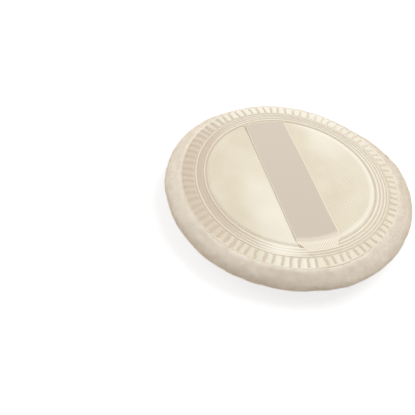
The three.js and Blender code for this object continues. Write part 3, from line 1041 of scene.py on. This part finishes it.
class POWDERPUFF_OT_velour(bpy.types.Operator):
    """Makes the velour pouch and its pile"""

    bl_idname = "powder_puff.velour"
    bl_label = "Velour Pouch"

    def execute(self, context):
        velour, back = context.scene.puff_velour, context.scene.puff_back
        segments, face_steps, held = 432, 24, 2
        weld_top = back.rim - back.dish
        tuck = back.radius - 0.05 * MM
        section, level = roll_section(velour, velour.pile, face_steps)
        # The outside, from the flat that the puff rests on to the weld
        outer = [[r, z] for r, z in section if z < level or r > tuck] + [[tuck, section[-1][1]]]
        for point in outer:
            if point[1] > level:
                point[1] += velour.swell * (point[1] - level) / (section[-1][1] - level)
        flat = [[outer[0][0] * share, velour.pile] for share in (0.3, 0.65)]
        outer = flat + outer + [[tuck, weld_top - 0.9 * MM]]
        rings = [ring(r, z, segments) for r, z in outer]
        self.simulate(outer, rings, held)
        for points in rings[: len(rings) - held]:
            self.roughen(velour, points, tuck, level)
        # The inside, from the margin that is turned in under the satin to the flat
        lining, _ = roll_section(velour, velour.cloth, 10)
        margin = weld_radii(back)[0] - 4.7 * MM
        margin_top = weld_top - 2.3 * MM
        inside = [[tuck - 2.8 * MM, margin_top], [margin, margin_top], [margin, margin_top - 1.0 * MM]]
        rings += [ring(r, z, segments) for r, z in inside + lining[::-1]]
        for points in rings:
            stray(back, points)
            slip(back, points)
            slump(velour, points, level)
            settle(velour, points)
            points[:, 2] = np.maximum(points[:, 2], 0.5 * velour.pile)
        mesh = stack_rings("velour_pouch", rings, start=(0, 0, velour.pile), end=(0, 0, velour.cloth))
        widest = max(range(len(outer)), key=lambda i: outer[i][0])
        naps = self.share_nap(mesh, segments, len(flat) + face_steps, widest, len(outer) - held)
        material = velour_material(velour)
        pouch = new_piece("velour_pouch", mesh, material)
        pieces = [pouch]
        tree = pile_tree()
        values = {
            "Density": velour.density / MM**2,
            "Length": velour.pile * 1.1,
            "Width": velour.fibre,
            "Row Pitch": velour.row_pitch,
            "Map Width": 2.2 * velour.radius,
            "Seed": velour.seed,
            "Material": material,
        }
        for name in naps:
            pile = new_piece("velour_nap_" + name, pouch.data.copy(), material)
            run_tree(pile, tree, {"Nap": "nap_" + name, **values})
            pieces.append(pile)
        for piece in pieces:
            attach(piece, "puff")
            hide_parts("velour_cover")
        return {"FINISHED"}

    def simulate(self, outer, rings, held):
        """Moves the rings as the blown up pouch moves, which is tried with fewer points each way."""
        picked = [*range(0, len(outer) - held, 2), *range(len(outer) - held, len(outer))]
        segments = len(rings[0])
        moves = puff_up([outer[i] for i in picked], held, segments // SIM_THIN)
        far = np.linalg.norm(moves, axis=2, keepdims=True)
        moves *= np.minimum(1, SIM_MOST / np.maximum(far, 1e-9))
        # The pile keeps its place beside the weld.
        edge = outer[-1][0]
        for move, i in zip(moves, picked):
            if outer[i][1] > rings[-1][0][2]:
                move *= smooth(edge, edge + 3 * MM, outer[i][0])
        coarse = np.arange(segments // SIM_THIN) * SIM_THIN
        for i, points in enumerate(rings):
            share = np.interp(i, picked, range(len(picked)))
            low = min(int(share), len(picked) - 2)
            here = moves[low] + (moves[low + 1] - moves[low]) * (share - low)
            for axis in range(3):
                points[:, axis] += np.interp(np.arange(segments), coarse, here[:, axis], period=segments)

    def roughen(self, velour, points, tuck, level):
        """Gives the outside soft lumps, which fade out beside the weld."""
        large, small = 0.3 * MM, 0.15 * MM
        way = points * (1, 1, 0) / np.linalg.norm(points[:, :2], axis=1, keepdims=True)
        lumps = large * waver(points, 12 * MM, 3) + small * waver(points, 3 * MM, 5)
        off_weld = np.hypot(points[:, 0], points[:, 1]) - tuck
        lumps *= np.where(points[:, 2] > level, smooth(0, 2 * MM, off_weld), 1)
        points += way * lumps[:, None] + np.outer(0.6 * lumps, (0, 0, 1)) * (points[:, 2:] > level)
        points[:, 2] = np.maximum(points[:, 2], velour.pile)

    def share_nap(self, mesh, segments, low_roll, widest, shown):
        """Stores how dense each piece of the nap is, and returns the names of these pieces.

        The pile is full above the roll's widest ring, thinner below it and thinnest on the face.
        """
        on_face, below = 0.06, 0.4
        pole = -2  # the vertex in the middle of the face
        share = np.zeros(len(mesh.vertices))
        share[: low_roll * segments] = on_face
        share[low_roll * segments : widest * segments] = below
        share[widest * segments : shown * segments] = 1.0
        share[pole] = on_face
        ring_of = np.arange(len(mesh.vertices)) // segments
        ring_of[pole] = 0
        middle = (widest + shown) // 2
        naps = {"face": (0, widest), "side": (widest, middle), "back": (middle, shown)}
        for name, (low, high) in naps.items():
            set_values(mesh, "nap_" + name, share * (ring_of >= low) * (ring_of < high))
        return list(naps)


class POWDERPUFF_OT_filling(bpy.types.Operator):
    """Makes the foam pad and the sealing film inside the pouch"""

    bl_idname = "powder_puff.filling"
    bl_label = "Foam and Film"

    def execute(self, context):
        scene = context.scene
        velour, back, filling = scene.puff_velour, scene.puff_back, scene.puff_filling
        segments = 144
        foam = new_piece("foam_pad", self.foam_mesh(velour, back, segments), foam_material(filling))
        film = new_piece("film_sheet", self.film_mesh(velour, back, segments), film_material(filling))
        for piece, node, slot in ((foam, "foam_filling", "foam"), (film, "sealing_film", "film")):
            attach(piece, "puff")
            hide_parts(node)
        return {"FINISHED"}

    def foam_mesh(self, velour, back, segments):
        """A pad that fills the roll, with a boss in the middle that holds the back up."""
        inset = velour.cloth + 0.3 * MM
        under_film = 2.3 * MM
        section, level = roll_section(velour, inset, 8)
        boss = weld_radii(back)[0] - 5.0 * MM
        shoulder = back.rim - back.dish - under_film - 1.3 * MM
        top = [[boss + 3.0 * MM, shoulder], [boss, shoulder]]
        under_pad = under_film + back.valley
        top += [[r, back_height(back, r) - under_pad] for r in np.linspace(boss, 2 * MM, 10)]
        rings = [ring(r, z, segments) for r, z in section + top]
        for points in rings:
            slump(velour, points, level)
            settle(velour, points)
        crown = back_height(back, 0.0) - under_pad
        return stack_rings("foam_pad", rings, start=(0, 0, inset), end=(0, 0, crown))

    def film_mesh(self, velour, back, segments):
        """A thin disc that follows the satin a little below it."""
        thick, under_satin = 0.5 * MM, 1.2 * MM
        radii = np.linspace(2 * MM, film_box[1].x, 30)
        low = [ring(r, back_height(back, r) - under_satin - thick, segments) for r in radii]
        high = [ring(r, back_height(back, r) - under_satin, segments) for r in radii[::-1]]
        for points in low + high:
            settle(velour, points)
            points[:, 2] += np.minimum(drape(back, points[:, 0], points[:, 1]), 0)
        crown = back_height(back, 0.0) - under_satin + drape(back, 0.0, 0.0)
        return stack_rings("film_sheet", low + high, start=(0, 0, crown - thick), end=(0, 0, crown))


class POWDERPUFF_OT_satin(bpy.types.Operator):
    """Makes the satin panel with its ridges and ribs"""

    bl_idname = "powder_puff.satin"
    bl_label = "Satin Back"

    def execute(self, context):
        scene = context.scene
        velour, back, ribbon = scene.puff_velour, scene.puff_back, scene.puff_ribbon
        ring_outer, ring_inner, disc = weld_radii(back)
        fine = back.rib_count * 12
        edge = back.radius - 0.15 * MM
        # Each band of the top: outside, inside, rings in it, and points round each ring
        bands = [
            (edge, ring_outer, 16, fine),
            (ring_outer, ring_inner, 44, fine),
            (ring_inner, disc, 6, fine),
            (disc, 24 * MM, 8, fine // 3),
            (24 * MM, 8 * MM, 10, fine // 3),
            (8 * MM, 1 * MM, 6, fine // 9),
        ]
        top = []
        for outside, inside, steps, segments in bands:
            top += [ring(r, 0.0, segments) for r in np.linspace(outside, inside, steps, endpoint=False)]
        for points in top:
            self.raise_top(back, ribbon, points)
        lip = [ring(back.radius, back.rim - drop, fine) for drop in (0.6 * MM, 0.1 * MM)]
        under = [
            ring(r, back_height(back, r) - back.thickness - 0.4 * MM, fine)
            for r in (ring_inner, ring_outer, edge)
        ]
        for points in under + lip + top:
            stray(back, points)
            settle(velour, points)
        crown = back_height(back, 0.0) + drape(back, 0.0, 0.0)
        low_crown = crown - back.thickness - 0.4 * MM
        mesh = stack_rings(
            "satin_panel", under + lip + top, start=(0, 0, low_crown), end=(0, 0, crown)
        )
        first = (len(under) + len(lip)) * fine
        self.store_marks(back, mesh, first, first + sum(len(points) for points in top))
        material = satin_material(back)
        panel = new_piece("satin_panel", mesh, material)
        run_tree(panel, weld_tree(), press_values(back, material))
        slip_mesh(back, panel.data)
        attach(panel, "puff")
        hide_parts("satin_back")
        return {"FINISHED"}

    def raise_top(self, back, ribbon, points):
        """Gives a ring of the top its height, with soft hollows and a seat for the ribbon's ends."""
        ring_outer, _, disc = weld_radii(back)
        x, off = points[:, 0], np.abs(points[:, 1])
        r = np.linalg.norm(points[:, :2], axis=1)
        points[:, 2] = back_height(back, r)
        loose = 1 - smooth(disc - 6 * MM, disc, r)
        clear = smooth(0.5 * ribbon.width, ribbon.width, off)
        points[:, 2] += back.drape * loose * clear * waver(points * (1, 1, 0), 12 * MM, 2)
        points[:, 2] += drape(back, x, points[:, 1])
        half = strap_half(back, ribbon, x, r) - 0.2 * MM
        seat = smooth(disc - 0.8 * MM, disc - 0.4 * MM, r)
        seat = seat * (1 - smooth(ring_outer - 0.4 * MM, ring_outer - 0.1 * MM, r))
        seat = seat * (off < half)
        deep = 1 - smooth(half - 1.2 * MM, half - 0.2 * MM, off)
        points[:, 2] -= (0.16 + 0.3 * deep) * MM * seat

    def store_marks(self, back, mesh, first, end):
        """Stores where the press marks the satin, how far it crushes it and darkens it with painted shade,
        and how much painted highlight the satin gets.
        """
        ring_outer, _, _ = weld_radii(back)
        x, y, _ = places(mesh).T
        r, turn = np.hypot(x, y), np.arctan2(y, x)
        press = np.zeros(len(x))
        press[first:end] = 1.0
        faint = lobe(turn, back.faint_way, 40) * smooth(ring_outer, ring_outer - 0.6 * MM, r)
        soft = lobe(turn, back.soft_way, 5) * smooth(ring_outer, ring_outer + 0.6 * MM, r)
        set_values(mesh, "press", press * (1 - 0.7 * faint) * (1 - 0.35 * soft))
        set_values(mesh, "dulled", struck(back, x, y))
        set_values(mesh, "sheen", painted_highlight(back, x, y))


class POWDERPUFF_OT_ribbon(bpy.types.Operator):
    """Makes the two halves of the ribbon strap, from each weld to the middle"""

    bl_idname = "powder_puff.ribbon"
    bl_label = "Ribbon Strap"

    def execute(self, context):
        scene = context.scene
        back, ribbon = scene.puff_back, scene.puff_ribbon
        material = ribbon_material(ribbon, back)
        press = weld_tree()
        ring_outer, ring_inner, disc = weld_radii(back)
        half = ribbon.width / 2
        fine_from = disc - 2 * MM
        reach = np.concatenate([np.linspace(0, fine_from, 50), np.linspace(fine_from, ring_outer, 70)[1:]])
        x, y = np.meshgrid(reach, np.linspace(-half, half, 121), indexing="ij")
        # The ends follow the round weld.
        straight = 20 * MM
        bend = np.clip((x - straight) / (ring_inner - straight), 0, 1)
        x = x + (np.sqrt(np.maximum(x**2 - y**2, 0)) - x) * bend
        along = np.minimum(reach[:, None], np.hypot(x, y))
        room = ribbon.gap * (1 - 0.8 * smooth(0.6 * disc, 0.95 * disc, along))
        lying = back_height(back, np.minimum(along, disc)) + room + ribbon.thickness
        lying = lying + drape(back, x, 0 * y)
        # The near end is drawn down onto the satin before the weld, and where it turns down it gets a
        # painted highlight.
        for name, sign, early, end in (
            ("ribbon_near", 1, 1.6 * MM, 2.8 * MM),
            ("ribbon_far", -1, 0.5 * MM, 1.0 * MM),
        ):
            mesh = self.half_mesh(scene, name, x, y, lying, sign, early, end)
            piece = new_piece(name, mesh, material)
            run_tree(piece, press, press_values(back, material))
            slip_mesh(back, piece.data)
            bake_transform(piece)
            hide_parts("ribbon_strap")
        return {"FINISHED"}

    def half_mesh(self, scene, name, x, y, lying, sign, early, end):
        """One half of the ribbon, which comes down before the loose disc's edge and is fused after it.

        early and end say how far before and after, and sign is 1 for the near half and -1 for the far.
        """
        velour, back, ribbon = scene.puff_velour, scene.puff_back, scene.puff_ribbon
        ring_outer, _, disc = weld_radii(back)
        half = ribbon.width / 2
        near = sign > 0
        wide = y * strap_half(back, ribbon, sign * x, np.hypot(x, y)) / half
        out = np.hypot(x, wide)
        # Height of the top, and the thickness under it
        fused = smooth(disc + end - 0.4 * MM, disc + end + 0.4 * MM, out)
        at_side = smooth(half - 0.5 * MM, half, np.abs(y))
        dip = np.maximum(at_side, smooth(ring_outer - 0.5 * MM, ring_outer, out))
        slope = back.disc_rise * (1 - smooth(disc, disc + end, out)) * near
        ground = np.maximum(back_height(back, out), back.rim - back.dish + slope)
        laid = ground + 0.12 * MM * (1 - fused) + (ribbon.fused - 0.05 * MM * dip) * fused
        crease = bell(out - disc - end, 0.3 * MM) * smooth(half, half - 1.5 * MM, np.abs(y))
        rim = smooth(half - ribbon.selvedge, half - 0.5 * ribbon.selvedge, np.abs(y))
        loops = 0.5 + 0.5 * np.cos(2 * np.pi * x / ribbon.bead)
        down = smooth(disc - early, disc + 1.3 * MM - early, out)
        top = lying + (laid - lying) * down + 0.08 * MM * rim * loops * (1 - down)
        top = top - 0.15 * MM * crease * near
        welded = 0.12 * MM + 0.16 * MM * near * (1 - fused) + ground - back_height(back, out)
        thick = ribbon.thickness + (welded - ribbon.thickness) * down
        # How pale it is: the looped edges, dimmed on one side as painted shade; a hatched painted highlight
        # where the near end turns down; painted shade making it a little darker towards the near end
        hatch = 0.5 + 0.5 * np.cos(2 * np.pi * (x + wide) / (0.8 * ribbon.bead))
        painted_turn_highlight = smooth(disc - 2.8 * MM, disc - 0.6 * MM, out) * near * (0.4 + 0.6 * hatch)
        # The looped edge is paler thread; on one side it is dimmed as painted shade.
        beads = rim * (0.45 + 0.55 * loops) * np.where(sign * y > 0, 1.0, 0.4)
        # Painted shade: a little darker towards the near end and paler towards the far end.
        edge = np.maximum(np.maximum(beads, painted_turn_highlight), 0.12 * (0.5 - 0.5 * sign * x / disc))
        x, y = sign * x, sign * wide
        level = top + settled(velour, x, y)
        upper = np.stack([x, y, level], axis=2).reshape(-1, 3)
        lower = np.stack([x, y, level - thick], axis=2).reshape(-1, 3)
        mesh = bpy.data.meshes.new(name)
        mesh.from_pydata(np.concatenate([upper, lower]).tolist(), [], slab_faces(*x.shape))
        mesh.shade_smooth()
        mesh.set_sharp_from_angle(angle=math.radians(50))
        set_values(mesh, "press", np.concatenate([fused.ravel(), 0 * fused.ravel()]))
        set_values(mesh, "edge", np.tile(edge.ravel(), 2))
        set_values(mesh, "fused", np.tile(fused.ravel(), 2))
        # The fused ends take the satin's crush, its painted shade and its painted highlight.
        set_values(mesh, "dulled", np.tile(struck(back, x, y).ravel(), 2))
        set_values(mesh, "sheen", np.tile(painted_highlight(back, x.ravel(), y.ravel()), 2))
        return mesh


class POWDERPUFF_OT_stage(bpy.types.Operator):
    """Makes the floor, the light and the camera"""

    bl_idname = "powder_puff.stage"
    bl_label = "Floor, Light and Camera"

    def execute(self, context):
        scene = context.scene
        stage, back = scene.puff_stage, scene.puff_back
        self.floor(stage)
        self.light(scene, stage)
        self.camera(scene, stage, Vector((0, 0, back.rim)))
        scene.view_settings.view_transform = "Standard"
        return {"FINISHED"}

    def floor(self, stage):
        side = 3.0
        corners = [(-side, -side, 0), (side, -side, 0), (side, side, 0), (-side, side, 0)]
        mesh = bpy.data.meshes.new("floor")
        mesh.from_pydata(corners, [], [(0, 1, 2, 3)])
        made = bpy.data.materials.new("Paper sweep, matt white")
        made.use_nodes = True
        tree = made.node_tree
        tree.nodes.remove(tree.nodes["Principled BSDF"])
        path = add_node(tree, "ShaderNodeLightPath")
        paper = add_node(tree, "ShaderNodeBsdfDiffuse", {"Color": stage.floor})
        lit = add_node(tree, "ShaderNodeBsdfDiffuse", {"Color": (1, 1, 1, 1)})
        # The sweep brightens away from the object, so that no horizon shows.
        place = add_node(tree, "ShaderNodeTexCoord").outputs["Object"]
        away = add_node(tree, "ShaderNodeVectorMath", {0: place}, operation="LENGTH")
        bright = add_node(
            tree, "ShaderNodeMapRange",
            {
                "Value": away.outputs["Value"],
                "From Min": 0.12,
                "From Max": 0.6,
                "To Min": 1.15,
                "To Max": 1.8,
            },
        )
        glow = add_node(tree, "ShaderNodeEmission", {"Color": (1, 1, 1, 1), "Strength": bright})
        seen = add_node(tree, "ShaderNodeMixShader", {0: 0.65, 1: lit, 2: glow})
        both = add_node(tree, "ShaderNodeMixShader", {0: path.outputs["Is Camera Ray"], 1: paper, 2: seen})
        set_inputs(tree, tree.nodes["Material Output"], {"Surface": both})
        new_piece("floor", mesh, made)

    def light(self, scene, stage):
        world = bpy.data.worlds.new("Studio")
        world.use_nodes = True
        scene.world = world
        tree = world.node_tree
        path = add_node(tree, "ShaderNodeLightPath")
        strength = add_node(
            tree, "ShaderNodeMapRange",
            {"Value": path.outputs["Is Camera Ray"], "To Min": stage.ambient, "To Max": 1.0},
        )
        set_inputs(tree, tree.nodes["Background"], {"Color": (1, 1, 1, 1), "Strength": strength})
        # The key lamp stands behind the puff on the right, a weak one low on the left.
        far, size = 1.5, 1.0
        for name, round_by, tall, level in (
            ("softbox_key", 135, 58, stage.key),
            ("softbox_fill", 270, 30, stage.fill),
        ):
            turn = stage.azimuth + math.radians(round_by)
            height = math.radians(tall)
            lamp = bpy.data.lights.new(name, "AREA")
            lamp.shape = "DISK"
            lamp.size = size
            lamp.energy = level * math.pi**2 * far**2 / math.sin(height)
            holder = bpy.data.objects.new(name, lamp)
            scene.collection.objects.link(holder)
            side = Vector((math.sin(turn), -math.cos(turn), 0)) * math.cos(height)
            back_to = side + Vector((0, 0, math.sin(height)))
            holder.location = back_to * far
            holder.rotation_euler = back_to.to_track_quat("Z", "Y").to_euler()

    def camera(self, scene, stage, target):
        lens = bpy.data.cameras.new("camera")
        lens.sensor_width = SENSOR
        lens.lens = SENSOR * stage.focal / PHOTO_SIDE
        lens.clip_start = 0.01
        across = Vector((math.cos(stage.azimuth), math.sin(stage.azimuth), 0))
        away = Vector((-math.sin(stage.azimuth), math.cos(stage.azimuth), 0))
        ahead = away * math.cos(stage.elevation) - Vector((0, 0, math.sin(stage.elevation)))
        down = -away * math.sin(stage.elevation) - Vector((0, 0, math.cos(stage.elevation)))
        turned = Matrix.Rotation(stage.roll, 3, "Z") @ Matrix((across, down, ahead))
        middle = PHOTO_SIDE / 2
        ray = Vector(((stage.aim[0] - middle) / stage.focal, (stage.aim[1] - middle) / stage.focal, 1))
        aimed = Vector((0, 0, 1)).rotation_difference(ray).to_matrix() @ turned
        axes = Matrix((aimed[0], -aimed[1], -aimed[2])).transposed()
        eye = bpy.data.objects.new("camera", lens)
        scene.collection.objects.link(eye)
        eye.matrix_world = Matrix.Translation(target - stage.distance * ahead) @ axes.to_4x4()
        scene.camera = eye


class POWDERPUFF_PT_panel(bpy.types.Panel):
    """Lists the puff's settings and the operators that make it"""

    bl_idname = "POWDERPUFF_PT_panel"
    bl_label = "Powder Puff"
    bl_space_type = "VIEW_3D"
    bl_region_type = "UI"
    bl_category = "Powder Puff"

    def draw(self, context):
        for name, operator in STEPS:
            box = self.layout.box()
            settings = getattr(context.scene, name)
            for key in type(settings).__annotations__:
                box.prop(settings, key)
            box.operator(operator.bl_idname)


GROUPS = {
    "puff_velour": PuffVelour,
    "puff_back": PuffBack,
    "puff_ribbon": PuffRibbon,
    "puff_filling": PuffFilling,
    "puff_stage": PuffStage,
}
STEPS = [
    ("puff_stage", POWDERPUFF_OT_stage),
    ("puff_velour", POWDERPUFF_OT_velour),
    ("puff_filling", POWDERPUFF_OT_filling),
    ("puff_back", POWDERPUFF_OT_satin),
    ("puff_ribbon", POWDERPUFF_OT_ribbon),
]
CLASSES = [*GROUPS.values(), *(operator for _, operator in STEPS), POWDERPUFF_PT_panel]


def register():
    for made in CLASSES:
        bpy.utils.register_class(made)
    for name, group in GROUPS.items():
        setattr(bpy.types.Scene, name, bpy.props.PointerProperty(type=group))


def unregister():
    for name in GROUPS:
        delattr(bpy.types.Scene, name)
    for made in reversed(CLASSES):
        bpy.utils.unregister_class(made)


def main():
    register()
    bpy.ops.powder_puff.stage()
    bpy.ops.powder_puff.velour()
    bpy.ops.powder_puff.filling()
    bpy.ops.powder_puff.satin()
    bpy.ops.powder_puff.ribbon()


if __name__ == "__main__":
    main()
